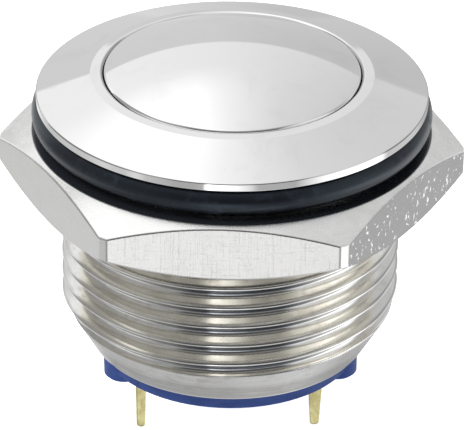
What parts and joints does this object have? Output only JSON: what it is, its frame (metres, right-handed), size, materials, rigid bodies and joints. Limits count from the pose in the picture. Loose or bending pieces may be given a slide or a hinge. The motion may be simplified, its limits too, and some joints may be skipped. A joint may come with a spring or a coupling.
{
  "type": "anti vandal push button",
  "caption": "Metal push button with a domed cap in a sloped round head, threaded shank, hexagon nut, rubber seal ring, plastic base and pin terminals; pressing it closes a contact until let go.",
  "frame": {"origin": "centre of the flange's underside, where the head seats on the panel", "axes": "+Z points out of the panel through the button; the two terminals stand along X"},
  "size_m": [0.0216, 0.0198, 0.0205],
  "materials": {
    "polished_nickel": "mirror polished nickel plate",
    "cap_nickel": "mirror polished nickel plate",
    "machined_nickel": "machined, nickel plated, with fine scratches",
    "black_rubber": "smooth, low sheen",
    "blue_plastic": "moulded, fine grain",
    "white_plastic": "moulded, waxy",
    "spring_steel": "drawn wire and stamped strip",
    "copper_alloy": "stamped strip",
    "contact_silver": "satin",
    "pale_gold": "gold flashed, satin"
  },
  "bodies": {
    "frame": {"housing": "polished_nickel", "panel_o_ring": "black_rubber", "base": "blue_plastic", "base_gasket": "black_rubber", "terminal_left": "pale_gold", "terminal_right": "pale_gold", "fixed_contact_left": "contact_silver", "fixed_contact_right": "contact_silver", "return_spring": "spring_steel"},
    "button": {"button_cap": "cap_nickel", "button_seal": "black_rubber", "stem_clip": "spring_steel", "plunger": "white_plastic", "contact_spring": "spring_steel"},
    "bridge": {"contact_bridge": "copper_alloy", "bridge_contact_left": "contact_silver", "bridge_contact_right": "contact_silver"},
    "nut": {"hex_nut": "machined_nickel"}
  },
  "joints": [
    {"name": "button_press", "type": "slide", "parent": "frame", "child": "button", "axis": [0, 0, -1], "range_m": [0, 0.0015], "stiffness_N_per_m": 900, "springref_m": -0.0015, "deforming": ["return_spring"]},
    {"name": "contact_overtravel", "type": "slide", "parent": "button", "child": "bridge", "axis": [0, 0, 1], "range_m": [0, 0.0004], "deforming": ["contact_spring"]},
    {"name": "nut_travel", "type": "slide", "parent": "frame", "child": "nut", "axis": [0, 0, -1], "range_m": [0, 0.007]}
  ],
  "couplings": [
    {"joint": "contact_overtravel", "follows": "button_press", "ratio": 0.2666}
  ]
}
